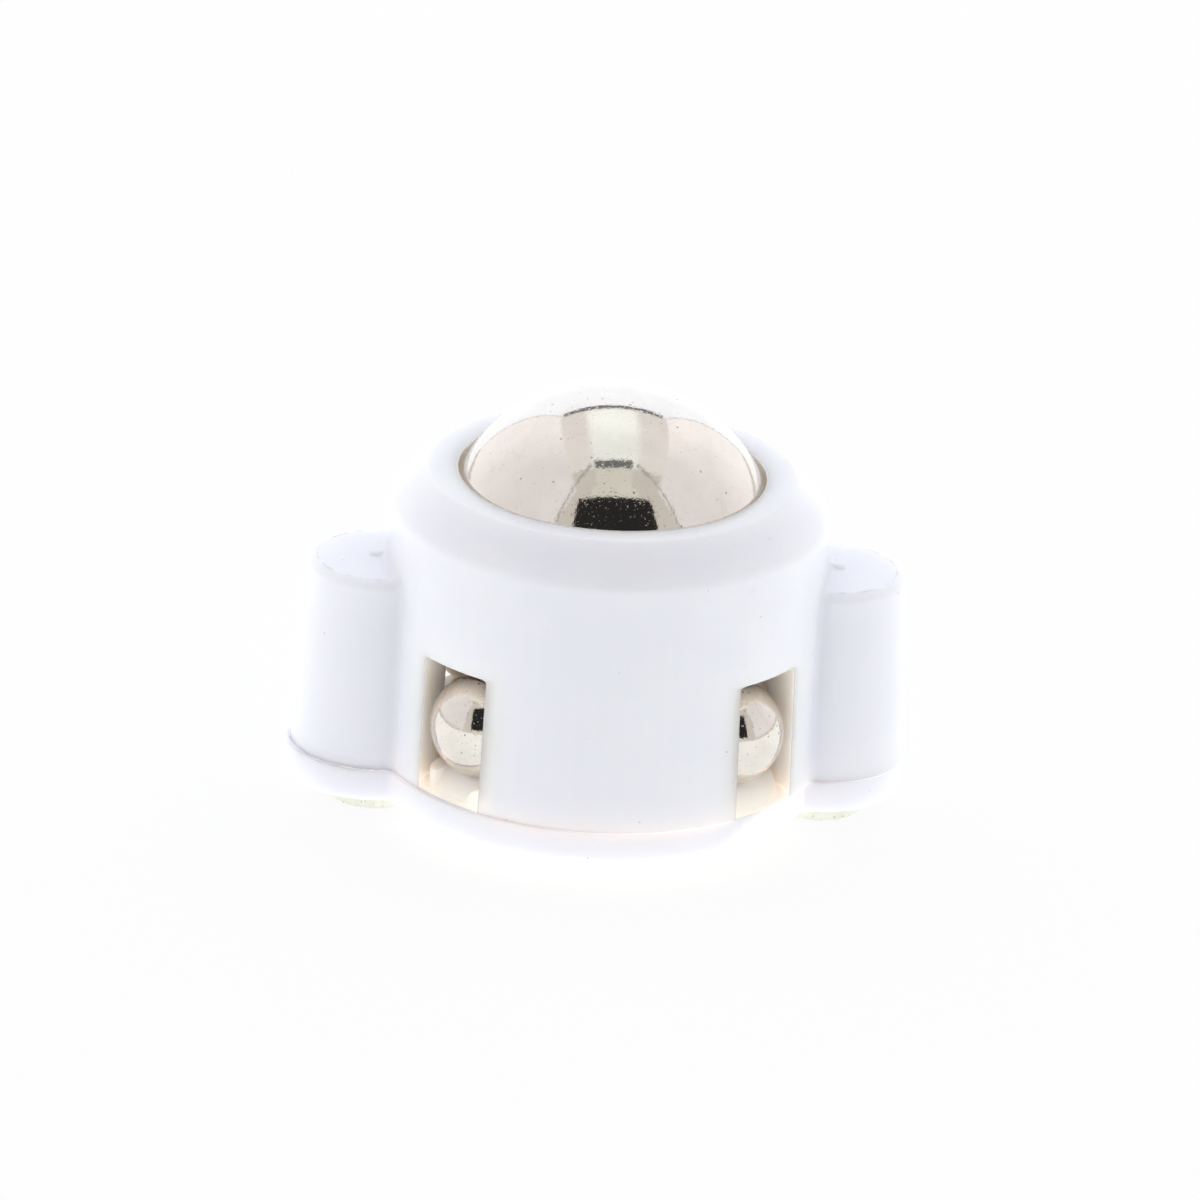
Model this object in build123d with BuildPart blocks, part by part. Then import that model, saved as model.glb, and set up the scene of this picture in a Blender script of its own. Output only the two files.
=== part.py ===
"""Ball castor: moulded housing, base plate, main ball, four support balls, two screws.

Millimetres, +Z up. The origin is on the housing's axis, on the underside of the base
plate. The two screw towers stand on the X axis, and the photographed side faces -Y.
"""
import os
from math import asin, cos, degrees, radians, sin, sqrt

from build123d import *

os.makedirs("parts", exist_ok=True)

# Balls
main_ball_r = 8.0
support_ball_r = 2.5
support_circle_r = 8.15          # from the main axis to each support ball
support_angle = 45.0             # from the X axis to the nearest support ball
ball_gap = 0.01                  # left between balls that touch
seat_gap = 0.02                  # left between a support ball and its seat

# Housing
height = 15.47
body_draft = 0.28                # the body narrows by this from the seam to the shoulder
shoulder_width = 1.65
shoulder_drop = 1.75
shoulder_blend = 0.75
ring_blend = 0.18                # outer edge of the flat ring round the ball
lip_width = 0.62                 # the shallow bevel inside the ring
lip_drop = 0.07
cavity_gap = 0.2                 # all round the upper half of the main ball
bore_draft = 0.25                # how much the bore widens on its way down to the seam
pocket_gap = 0.31                # round a support ball, at the top of its pocket
pocket_draft = 0.11
pocket_headroom = 0.9
pocket_blend = 0.18
window_cut = 0.51                # how far the pockets break out through the wall

# Screw towers
tower_offset = 0.02              # a tower's axis stands this far outside the body's foot
tower_top = 10.85
tower_r_top = 3.49
tower_draft = 0.46
tower_edge_r = 0.47
tower_neck_r = 0.55              # concave blend between a tower and the body
pip_r = 0.3                      # moulding pips left where the tower tops meet the body
pip_proud = 0.17
pip_length = 0.87
pip_y = 0.2

# Base plate
plate_inset = 0.06               # the plate is this much smaller than the body's foot
plate_thick = 1.57
plate_shift = -0.22              # the plate sits a little to the left of the housing
plate_edge_r = 0.22
flange_spare = 0.03              # the flanges are this much larger than the towers' feet
flange_neck_r = 0.45             # concave corner between a flange and the disc
hole_gap = 0.55                  # round a screw's core in the plate
head_recess = 0.3                # how deep each screw head sits in the plate
head_gap = 0.35
seat_height = 0.92
seat_clearance = 0.52            # between a seat and the foot of its pocket
seat_setback = 0.76              # the seats end this far inside the body's foot
dish_ease = 0.2                  # the hollow in a seat is part of a slightly larger ball
dish_depth = 0.14
ramp_start = 0.62                # each seat slopes down to its window from this far outside
ramp_side = -1.45                # its ball's centre, and beside a post left on this side
ramp_spread = 4.2
lug_angle = -132.0               # where the lug by the front left seat starts
lug_height = 0.8
lug_knee = (0.26, 0.44)          # along and up: a point on its swept end
lug_sweep = 0.95                 # how far along its swept end reaches the top
lug_length = 1.85
lug_thick = 0.9

# Screws
core_r = 1.0
screw_length = 8.0               # under the head
tip_length = 1.1
tip_r = 0.25
head_r = 2.15
head_height = 1.55
head_edge_r = 0.25
cross_width = 0.55
cross_span = 2.3
cross_depth = 0.9
cross_taper = 12.0
pilot_gap = 0.02                 # round a screw's core in its pilot hole
pilot_spare = 0.8                # pilot hole left beyond a screw's tip

# Sizes that follow
seat_z = plate_thick + seat_height - dish_depth
support_z = seat_z + seat_gap + support_ball_r
touch = main_ball_r + support_ball_r + ball_gap
main_z = support_z + sqrt(touch**2 - support_circle_r**2)
cavity_r = main_ball_r + cavity_gap
bore_r_foot = cavity_r + bore_draft
lip_z = height - lip_drop
lip_rise = degrees(asin((lip_z - main_z) / cavity_r))     # seen from the main ball's centre
opening_r = cavity_r * cos(radians(lip_rise))
pocket_r_top = support_ball_r + pocket_gap
pocket_r_foot = pocket_r_top + pocket_draft
pocket_top = support_z + support_ball_r + pocket_headroom
body_foot = plate_thick
body_r_foot = support_circle_r + pocket_r_foot - window_cut
body_r_top = body_r_foot - body_draft
ring_r = body_r_top - shoulder_width
shoulder_z = height - shoulder_drop
tower_x = body_r_foot + tower_offset
tower_r_foot = tower_r_top + tower_draft
pip_reach = body_r_top + pip_length
plate_r = body_r_foot - plate_inset
flange_r = tower_r_foot + flange_spare
plate_hole_r = core_r + hole_gap
head_recess_r = head_r + head_gap
seat_r = pocket_r_foot - seat_clearance
seat_reach = body_r_foot - seat_setback
dish_r = support_ball_r + dish_ease
screw_head_z = head_recess - head_height       # underside of a screw head
screw_tip_z = head_recess + screw_length
pilot_end_z = screw_tip_z + pilot_spare
side = support_circle_r * cos(radians(support_angle))
support_places = {
    "front_left": (-side, -side),
    "front_right": (side, -side),
    "rear_left": (-side, side),
    "rear_right": (side, side),
}
tower_places = {"left": -tower_x, "right": tower_x}


def upright(x, y=0.0):
    """A plane through the vertical line at (x, y): its X is radius and its Y is height."""
    return Plane(origin=(x, y, 0), x_dir=(1, 0, 0), z_dir=(0, -1, 0))


def vertical(x, y=0.0):
    """The vertical line at (x, y), to turn a profile about."""
    return Axis((x, y, 0), (0, 0, 1))


# Housing: a turned body with two drafted towers, hollowed from below.
with BuildPart() as housing:
    with BuildSketch(upright(0)) as body_profile:
        with BuildLine():
            Polyline(
                (0, body_foot),
                (body_r_foot, body_foot),
                (body_r_top, shoulder_z),
                (ring_r, height),
                (0, height),
                close=True,
            )
        make_face()
        corners = body_profile.vertices()
        fillet(corners.sort_by_distance((body_r_top, shoulder_z))[0], shoulder_blend)
        corners = body_profile.vertices()
        fillet(corners.sort_by_distance((ring_r, height))[0], ring_blend)
    revolve(axis=Axis.Z)

    for x in tower_places.values():
        with BuildSketch(upright(x)) as tower_profile:
            with BuildLine():
                Polyline(
                    (0, body_foot),
                    (tower_r_foot, body_foot),
                    (tower_r_top, tower_top),
                    (0, tower_top),
                    close=True,
                )
            make_face()
            corners = tower_profile.vertices()
            fillet(corners.sort_by_distance((tower_r_top, tower_top))[0], tower_edge_r)
        revolve(axis=vertical(x))

    # One concave blend runs up each tower's front, across its top and down its back.
    meeting = (
        housing.edges()
        .filter_by(lambda e: body_foot + 0.1 < e.center().Z < tower_top + 0.1)
        .filter_by(lambda e: ring_r < abs(e.center().X) < tower_x)
    )
    fillet(meeting, tower_neck_r)

    # A low pip of the moulding's feed is left on each tower top, against the body.
    for outward in (-1, 1):
        pip_end = Plane(
            origin=(outward * pip_reach, pip_y, tower_top + pip_proud - pip_r),
            z_dir=(-outward, 0, 0),
        )
        with BuildSketch(pip_end):
            Circle(pip_r)
        extrude(amount=pip_reach - ring_r)

    # The ball's cavity is round above the ball's middle and a drafted bore below it.
    with BuildSketch(upright(0)):
        with BuildLine():
            Polyline((0, height), (0, body_foot), (bore_r_foot, body_foot), (cavity_r, main_z))
            CenterArc((0, main_z), cavity_r, 0, lip_rise)
            Polyline((opening_r, lip_z), (opening_r + lip_width, height), (0, height))
        make_face()
    revolve(axis=Axis.Z, mode=Mode.SUBTRACT)

    # The pockets reach past the wall, which opens the windows.
    for x, y in support_places.values():
        with BuildSketch(upright(x, y)) as pocket_profile:
            with BuildLine():
                Polyline(
                    (0, body_foot),
                    (pocket_r_foot, body_foot),
                    (pocket_r_top, pocket_top),
                    (0, pocket_top),
                    close=True,
                )
            make_face()
            corners = pocket_profile.vertices()
            fillet(corners.sort_by_distance((pocket_r_top, pocket_top))[0], pocket_blend)
        revolve(axis=vertical(x, y), mode=Mode.SUBTRACT)

    # Pilot holes for the screws, closed at the top.
    for x in tower_places.values():
        with BuildSketch(Plane.XY.offset(body_foot)):
            with Locations((x, 0)):
                Circle(core_r + pilot_gap)
        extrude(amount=pilot_end_z - body_foot, mode=Mode.SUBTRACT)

housing.part.label = "housing"
export_step(housing.part, "parts/housing.step")


# Base plate: a disc with two flanges, and a ramped seat under each support ball.
with BuildPart() as base_plate:
    with BuildSketch() as outline:
        with Locations((plate_shift, 0)):
            Circle(plate_r)
        for x in tower_places.values():
            with Locations((x + plate_shift, 0)):
                Circle(flange_r)
        fillet(outline.vertices(), flange_neck_r)
    extrude(amount=plate_thick)
    fillet(base_plate.edges().group_by(Axis.Z)[0], plate_edge_r)

    with BuildSketch(Plane.XY.offset(plate_thick)):
        with Locations(*support_places.values()):
            Circle(seat_r)
        Circle(seat_reach, mode=Mode.INTERSECT)
    extrude(amount=seat_height)

    # The ramps run across the seats and down to the plate at the seats' outer ends.
    for x, y in support_places.values():
        out = Vector(x, y, 0).normalized()
        across = Vector(-out.Y, out.X, 0)
        ramp_corner = Vector(x, y, plate_thick) + across * ramp_side
        with BuildSketch(Plane(origin=ramp_corner, x_dir=out, z_dir=-across)):
            with BuildLine():
                Polyline(
                    (ramp_start, seat_height),
                    (seat_r, seat_height),
                    (seat_r, 0),
                    (seat_reach - support_circle_r, 0),
                    close=True,
                )
            make_face()
        extrude(amount=-ramp_spread, mode=Mode.SUBTRACT)

    # A lug beside the front left seat, whose end sweeps down to the floor.
    out = Vector(cos(radians(lug_angle)), sin(radians(lug_angle)), 0)
    along = Vector(-out.Y, out.X, 0)
    lug_start = out * seat_reach + Vector(0, 0, plate_thick)
    with BuildSketch(Plane(origin=lug_start, x_dir=along, z_dir=out)):
        with BuildLine():
            Spline((0, 0), lug_knee, (lug_sweep, lug_height), tangents=((1, 0.6), (1, 0)))
            Polyline(
                (lug_sweep, lug_height),
                (lug_length, lug_height),
                (lug_length, 0),
                (0, 0),
            )
        make_face()
    extrude(amount=-lug_thick)

    with Locations(*((x, y, seat_z + dish_r) for x, y in support_places.values())):
        Sphere(dish_r, mode=Mode.SUBTRACT)

    # Screw holes, with a shallow recess round each head.
    for depth, hole_r in ((head_recess, head_recess_r), (plate_thick, plate_hole_r)):
        with BuildSketch():
            with Locations(*((x + plate_shift, 0) for x in tower_places.values())):
                Circle(hole_r)
        extrude(amount=depth, mode=Mode.SUBTRACT)

base_plate.part.label = "base_plate"
export_step(base_plate.part, "parts/base_plate.step")


# Balls
with BuildPart() as main_ball:
    with Locations((0, 0, main_z)):
        Sphere(main_ball_r)

main_ball.part.label = "main_ball"
export_step(main_ball.part, "parts/main_ball.step")

for place, (x, y) in support_places.items():
    with BuildPart() as support_ball:
        with Locations((x, y, support_z)):
            Sphere(support_ball_r)

    support_ball.part.label = f"support_ball_{place}"
    export_step(support_ball.part, f"parts/support_ball_{place}.step")


# Screws: pan heads with a cross recess. The plastic grips their threads.
for place, x in tower_places.items():
    with BuildPart() as screw:
        with BuildSketch(upright(x)) as screw_profile:
            with BuildLine():
                Polyline(
                    (0, screw_head_z),
                    (head_r, screw_head_z),
                    (head_r, head_recess),
                    (core_r, head_recess),
                    (core_r, screw_tip_z - tip_length),
                    (tip_r, screw_tip_z),
                    (0, screw_tip_z),
                    close=True,
                )
            make_face()
            corners = screw_profile.vertices()
            fillet(corners.sort_by_distance((head_r, screw_head_z))[0], head_edge_r)
        revolve(axis=vertical(x))
        for length, width in ((cross_span, cross_width), (cross_width, cross_span)):
            with BuildSketch(Plane.XY.offset(screw_head_z)):
                with Locations((x, 0)):
                    Rectangle(length, width)
            extrude(amount=cross_depth, taper=cross_taper, mode=Mode.SUBTRACT)

    screw.part.label = f"screw_{place}"
    export_step(screw.part, f"parts/screw_{place}.step")
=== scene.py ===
"""Dresses the ball castor: moulded plastic, polished balls, plated screws and a light tent."""
import math

import bmesh
import bpy
from bpy.props import (
    FloatProperty,
    FloatVectorProperty,
    IntProperty,
    PointerProperty,
)
from mathutils import Matrix, Vector


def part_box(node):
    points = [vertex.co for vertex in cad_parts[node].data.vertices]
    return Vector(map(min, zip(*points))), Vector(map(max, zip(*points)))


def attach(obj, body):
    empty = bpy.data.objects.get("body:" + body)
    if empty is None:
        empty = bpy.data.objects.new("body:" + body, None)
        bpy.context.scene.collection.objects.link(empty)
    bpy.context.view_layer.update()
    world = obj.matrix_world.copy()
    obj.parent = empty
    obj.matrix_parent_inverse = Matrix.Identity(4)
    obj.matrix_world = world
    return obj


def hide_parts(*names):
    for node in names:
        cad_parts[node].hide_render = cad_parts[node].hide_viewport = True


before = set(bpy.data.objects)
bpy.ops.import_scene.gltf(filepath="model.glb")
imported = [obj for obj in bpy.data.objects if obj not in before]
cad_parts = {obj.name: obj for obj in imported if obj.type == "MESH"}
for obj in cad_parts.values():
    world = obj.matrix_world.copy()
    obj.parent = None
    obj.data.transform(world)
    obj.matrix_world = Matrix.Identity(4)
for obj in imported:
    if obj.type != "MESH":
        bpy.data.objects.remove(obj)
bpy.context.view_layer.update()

bl_info = {
    "name": "Ball Castor",
    "version": (1, 0, 0),
    "blender": (4, 5, 0),
    "location": "View3D > Sidebar > Castor",
    "description": "Dresses a packed ball castor and sets it in a small light tent",
    "category": "Object",
}

MM = 0.001
BALLS = (
    "main_ball",
    "support_ball_front_left",
    "support_ball_front_right",
    "support_ball_rear_left",
    "support_ball_rear_right",
)
SCREWS = ("screw_left", "screw_right")

# Heights and distances on the castor in millimetres. A skin's radius is the one at the
# base. Inner walls are nearer the axis than the skin below the ball's middle, and within
# the ball's reach above it. The housing's foot is hidden on the plate, which has none. The
# thread starts above the base's underside, and of the screw's length above that underside
# the uncut length stays plain.
TOWER_X = 10.58
TOWER_TOP = 10.84
SEAM_HEIGHT = 1.6
HOUSING_SKIN = 10.59
PLATE_SKIN = 10.4
POCKET_WALL = 8.6
BALL_HEIGHT = 11.506
BALL_REACH = 8.27
NO_FOOT = -10.0
THREAD_START = 1.4
THREAD_UNCUT = 2.0
THREAD_CORE = 1.0
CAMERA_TARGET = (-0.2594, 0.0179, 8.88)

# Plain white, the colours that dirt and wear leave, and a painted shade for the crease round the
# tower tops.
WHITE = (1.0, 1.0, 1.0)
DIRT = (0.33, 0.27, 0.22)
CREASE_SHADE = (0.62, 0.55, 0.56)
PIT = (0.25, 0.2, 0.16)
SCRATCH = (0.42, 0.38, 0.34)
BARE_PLATING = (0.80, 0.80, 0.77)
TARNISH = (0.38, 0.33, 0.22)

# Moulding flash round the towers: x and z of the middle, radius, first angle, sweep,
# thickness, share covered and seed, in millimetres and degrees.
FLASH = (
    (-TOWER_X, TOWER_TOP, 3.04, 62.0, 236.0, 0.026, 0.55, 3.0),
    (TOWER_X, TOWER_TOP, 3.04, -118.0, 236.0, 0.026, 0.55, 8.0),
    (-TOWER_X, SEAM_HEIGHT, 3.97, 70.0, 220.0, 0.065, 0.56, 15.0),
    (TOWER_X, SEAM_HEIGHT, 3.9, -110.0, 220.0, 0.035, 0.45, 21.0),
)


# Sizes and colours that a user would change
class CastorPlasticSettings(bpy.types.PropertyGroup):
    """Finish of the housing and the base plate, with their painted recess light and painted glow.
    """

    colour: FloatVectorProperty(
        name="Plastic colour",
        description="Colour of the clean moulding",
        subtype="COLOR",
        size=3,
        min=0.0,
        max=1.0,
        default=(0.853, 0.848, 0.985),
    )
    # Painted light: a lighter, warmer colour put on the plastic where the recess and inner-wall
    # masks find shade, standing in for light through the plastic.
    painted_recess_light: FloatVectorProperty(
        name="Painted recess light",
        description="Warmer tone that the plastic takes deep inside windows and gaps",
        subtype="COLOR",
        size=3,
        min=0.0,
        max=1.0,
        default=(1.0, 0.945, 0.895),
    )
    flash_colour: FloatVectorProperty(
        name="Flash colour",
        description="Colour of the thin moulding flash",
        subtype="COLOR",
        size=3,
        min=0.0,
        max=1.0,
        default=(0.93, 0.925, 0.95),
    )
    gloss_roughness: FloatProperty(
        name="Roughness",
        description="Roughness of the satin moulding",
        subtype="FACTOR",
        min=0.0,
        max=1.0,
        default=0.3,
    )
    edge_radius: FloatProperty(
        name="Edge rounding",
        description="Small rounding that light catches along every crisp edge",
        unit="LENGTH",
        min=0.0,
        default=0.09 * MM,
        precision=6,
    )
    seam_gap: FloatProperty(
        name="Seam gap",
        description="Hairline gap between the housing and the base plate",
        unit="LENGTH",
        min=0.0,
        default=0.015 * MM,
        precision=6,
    )
    light_reach: FloatProperty(
        name="Light reach",
        description="How far light travels inside the plastic",
        unit="LENGTH",
        min=0.0,
        default=1.3 * MM,
        precision=6,
    )
    # Painted glow: an emission on the inner walls, the ring round the ball and the housing's
    # foot, standing in for light coming through the plastic.
    painted_glow: FloatProperty(
        name="Painted glow",
        description="Light that comes through the walls into the recesses",
        min=0.0,
        max=1.0,
        default=0.3,
    )
    painted_glow_colour: FloatVectorProperty(
        name="Painted glow colour",
        description="Colour of the light that has come through a wall",
        subtype="COLOR",
        size=3,
        min=0.0,
        max=1.0,
        default=(1.0, 0.875, 0.76),
    )


class CastorSteelSettings(bpy.types.PropertyGroup):
    """Finish of the balls."""

    colour: FloatVectorProperty(
        name="Steel colour",
        description="What the polished steel reflects straight on",
        subtype="COLOR",
        size=3,
        min=0.0,
        max=1.0,
        default=(0.663, 0.609, 0.565),
    )
    rings: IntProperty(
        name="Ball rings",
        description="Rings of faces on the main ball, from pole to pole",
        min=16,
        max=256,
        default=96,
    )


class CastorScrewSettings(bpy.types.PropertyGroup):
    """Thread and finish of the two screws."""

    pitch: FloatProperty(
        name="Thread pitch",
        description="Height of one turn of the thread",
        unit="LENGTH",
        min=0.2 * MM,
        default=1.05 * MM,
        precision=6,
    )
    crest: FloatProperty(
        name="Thread height",
        description="How far the thread stands out from the core",
        unit="LENGTH",
        min=0.0,
        default=0.32 * MM,
        precision=6,
    )
    colour: FloatVectorProperty(
        name="Plating colour",
        description="Yellowish plating on the screws",
        subtype="COLOR",
        size=3,
        min=0.0,
        max=1.0,
        default=(0.70, 0.67, 0.55),
    )


class CastorStageSettings(bpy.types.PropertyGroup):
    """The light tent and the camera."""

    tent_height: FloatProperty(
        name="Tent height",
        description="Height of the tent's roof above the main ball",
        unit="LENGTH",
        min=0.3,
        default=2.0,
    )
    wall_light: FloatProperty(
        name="Wall brightness",
        description="How bright the tent's side walls are",
        min=0.0,
        default=1.2,
    )
    floor_light: FloatProperty(
        name="Floor brightness",
        description="How bright the floor glows towards the part",
        min=0.0,
        default=1.8,
    )
    camera_distance: FloatProperty(
        name="Camera distance",
        description="From the camera to the point it looks at",
        unit="LENGTH",
        min=0.05,
        default=0.5,
    )
    camera_elevation: FloatProperty(
        name="Camera elevation",
        description="How high the camera looks down from",
        subtype="ANGLE",
        default=math.radians(22.70),
    )
    camera_turn: FloatProperty(
        name="Camera turn",
        description="How far round from the front the camera stands",
        subtype="ANGLE",
        default=math.radians(-3.94),
    )
    camera_roll: FloatProperty(
        name="Camera roll",
        description="Tilt of the picture",
        subtype="ANGLE",
        default=math.radians(3.15),
    )
    focal_length: FloatProperty(
        name="Focal length",
        description="Focal length in millimetres on a 36 mm wide sensor",
        min=10.0,
        default=319.5,
    )


# Node helpers
def add_node(tree, kind, at, settings=None, inputs=None):
    """One node of the given kind, with its settings. Inputs are linked or set to values."""
    made = tree.nodes.new(kind)
    made.location = at
    for key, value in (settings or {}).items():
        setattr(made, key, value)
    for key, value in (inputs or {}).items():
        if isinstance(value, bpy.types.NodeSocket):
            tree.links.new(value, made.inputs[key])
        else:
            made.inputs[key].default_value = value
    return made


def calculate(tree, operation, at, *values, clamp=False):
    """The result of a Math node on sockets and numbers."""
    settings = {"operation": operation, "use_clamp": clamp}
    return add_node(tree, "ShaderNodeMath", at, settings, dict(enumerate(values))).outputs[0]


def ramp_value(tree, at, value, low, high, out_low=0.0, out_high=1.0):
    """A smooth Map Range from low to high."""
    made = add_node(
        tree,
        "ShaderNodeMapRange",
        at,
        {"interpolation_type": "SMOOTHSTEP"},
        {
            "Value": value,
            "From Min": low,
            "From Max": high,
            "To Min": out_low,
            "To Max": out_high,
        },
    )
    return made.outputs["Result"]


def mix_colour(tree, at, factor, first, second):
    """first where factor is 0, and second where it is 1, by the Mix node's colour sockets."""
    inputs = {0: factor, 6: first, 7: second}
    return add_node(tree, "ShaderNodeMix", at, {"data_type": "RGBA"}, inputs).outputs[2]


def rgba(colour):
    return (*colour, 1.0)


def split_place(tree, at, place):
    """The X, Y and Z of a place."""
    return add_node(tree, "ShaderNodeSeparateXYZ", at, None, {0: place}).outputs


def new_group(name, sockets_in, sockets_out):
    """An empty shader node group, and the sockets of its named inputs and outputs."""
    tree = bpy.data.node_groups.new(name, "ShaderNodeTree")
    for label, kind, default in sockets_in:
        socket = tree.interface.new_socket(name=label, in_out="INPUT", socket_type=kind)
        if default is not None:
            socket.default_value = default
    for label, kind in sockets_out:
        tree.interface.new_socket(name=label, in_out="OUTPUT", socket_type=kind)
    start = tree.nodes.new("NodeGroupInput")
    end = tree.nodes.new("NodeGroupOutput")
    return tree, start.outputs, end.inputs


def place_group(tree, group, at, inputs):
    return add_node(tree, "ShaderNodeGroup", at, {"node_tree": group}, inputs)


# Shared effects
def grit_group():
    """Scattered small specks: one in some of the cells of a loose grid."""
    group = bpy.data.node_groups.get("Castor Grit")
    if group:
        return group
    group, start, end = new_group(
        "Castor Grit",
        (
            ("Place", "NodeSocketVector", None),
            ("Cells per mm", "NodeSocketFloat", 1.0),
            ("Speck size", "NodeSocketFloat", 0.12),
            ("Share", "NodeSocketFloat", 0.1),
            ("Seed", "NodeSocketFloat", 0.0),
        ),
        (("Mask", "NodeSocketFloat"),),
    )
    shifted = add_node(
        group,
        "ShaderNodeVectorMath",
        (-700, 0),
        {"operation": "ADD"},
        {0: start["Place"], 1: start["Seed"]},
    )
    wobble = add_node(
        group,
        "ShaderNodeTexNoise",
        (-700, -260),
        {"noise_dimensions": "3D"},
        {"Vector": shifted.outputs[0], "Scale": 9.0, "Detail": 2.0, "Roughness": 0.6},
    )
    cells = add_node(
        group,
        "ShaderNodeTexVoronoi",
        (-460, 0),
        {"voronoi_dimensions": "3D", "feature": "F1"},
        {"Vector": shifted.outputs[0], "Scale": start["Cells per mm"]},
    )
    chance = add_node(
        group, "ShaderNodeSeparateColor", (-240, -160), None, {0: cells.outputs["Color"]}
    )
    chosen = calculate(
        group, "LESS_THAN", (-60, -160), chance.outputs[0], start["Share"]
    )
    spread = calculate(group, "MULTIPLY_ADD", (-240, 60), chance.outputs[1], 0.8, 0.4)
    size = calculate(group, "MULTIPLY", (-60, 60), spread, start["Speck size"])
    ragged = calculate(group, "MULTIPLY_ADD", (-240, 220), wobble.outputs[0], 1.2, 0.4)
    reach = calculate(group, "MULTIPLY", (-60, 220), cells.outputs["Distance"], ragged)
    inner = calculate(group, "MULTIPLY", (100, 60), size, 0.6)
    body = ramp_value(group, (280, 120), reach, size, inner)
    mask = calculate(group, "MULTIPLY", (460, 0), body, chosen)
    group.links.new(mask, end["Mask"])
    return group


def hairline_group():
    """Fine scratches that run in two directions and fade in and out."""
    group = bpy.data.node_groups.get("Castor Hairlines")
    if group:
        return group
    group, start, end = new_group(
        "Castor Hairlines",
        (
            ("Place", "NodeSocketVector", None),
            ("Cells per mm", "NodeSocketFloat", 0.5),
            ("Width", "NodeSocketFloat", 0.02),
            ("Cover", "NodeSocketFloat", 0.4),
        ),
        (("Mask", "NodeSocketFloat"),),
    )
    layers = []
    for index, turn in enumerate(((0.3, 0.9, 0.2), (1.2, -0.5, 0.8))):
        turned = add_node(
            group,
            "ShaderNodeMapping",
            (-700, -300 * index),
            {"vector_type": "POINT"},
            {
                "Vector": start["Place"],
                "Location": (3.1 * index, 1.7, 0.4),
                "Rotation": turn,
                "Scale": (1.0, 0.16, 0.5),
            },
        )
        lines = add_node(
            group,
            "ShaderNodeTexVoronoi",
            (-460, -300 * index),
            {"voronoi_dimensions": "3D", "feature": "DISTANCE_TO_EDGE"},
            {"Vector": turned.outputs[0], "Scale": start["Cells per mm"]},
        )
        thin = ramp_value(
            group, (-220, -300 * index), lines.outputs["Distance"], start["Width"], 0.0
        )
        layers.append(thin)
    both = calculate(group, "MAXIMUM", (0, -100), *layers)
    patches = add_node(
        group,
        "ShaderNodeTexNoise",
        (-220, -600),
        {"noise_dimensions": "3D"},
        {"Vector": start["Place"], "Scale": 0.7, "Detail": 3.0},
    )
    gate = calculate(group, "SUBTRACT", (0, -420), patches.outputs[0], 0.5)
    gate = calculate(
        group, "MULTIPLY_ADD", (160, -420), gate, 4.0, start["Cover"], clamp=True
    )
    mask = calculate(group, "MULTIPLY", (320, -200), both, gate)
    group.links.new(mask, end["Mask"])
    return group


def mottle_group():
    """Slow uneven patches, centred on nought."""
    group = bpy.data.node_groups.get("Castor Mottle")
    if group:
        return group
    group, start, end = new_group(
        "Castor Mottle",
        (
            ("Place", "NodeSocketVector", None),
            ("Patches per mm", "NodeSocketFloat", 0.4),
            ("Detail", "NodeSocketFloat", 3.0),
            ("Strength", "NodeSocketFloat", 0.1),
        ),
        (("Value", "NodeSocketFloat"),),
    )
    noise = add_node(
        group,
        "ShaderNodeTexNoise",
        (-300, 0),
        {"noise_dimensions": "3D"},
        {
            "Vector": start["Place"],
            "Scale": start["Patches per mm"],
            "Detail": start["Detail"],
            "Roughness": 0.55,
        },
    )
    centred = calculate(group, "SUBTRACT", (-100, 0), noise.outputs[0], 0.5)
    value = calculate(group, "MULTIPLY", (80, 0), centred, start["Strength"])
    group.links.new(value, end["Value"])
    return group


def recess_group():
    """How shut in a place is, by ambient occlusion, for the painted recess light: 0 out in the
    open and 1 deep in a gap.
    """
    group = bpy.data.node_groups.get("Castor Recess")
    if group:
        return group
    group, start, end = new_group(
        "Castor Recess",
        (
            ("Reach", "NodeSocketFloat", 0.002),
            ("Open", "NodeSocketFloat", 0.7),
            ("Shut", "NodeSocketFloat", 0.1),
        ),
        (("Mask", "NodeSocketFloat"),),
    )
    shade = add_node(
        group,
        "ShaderNodeAmbientOcclusion",
        (-300, 0),
        {"samples": 3, "only_local": True},
        {"Distance": start["Reach"]},
    )
    mask = ramp_value(
        group, (-80, 0), shade.outputs["AO"], start["Open"], start["Shut"]
    )
    group.links.new(mask, end["Mask"])
    return group


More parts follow.
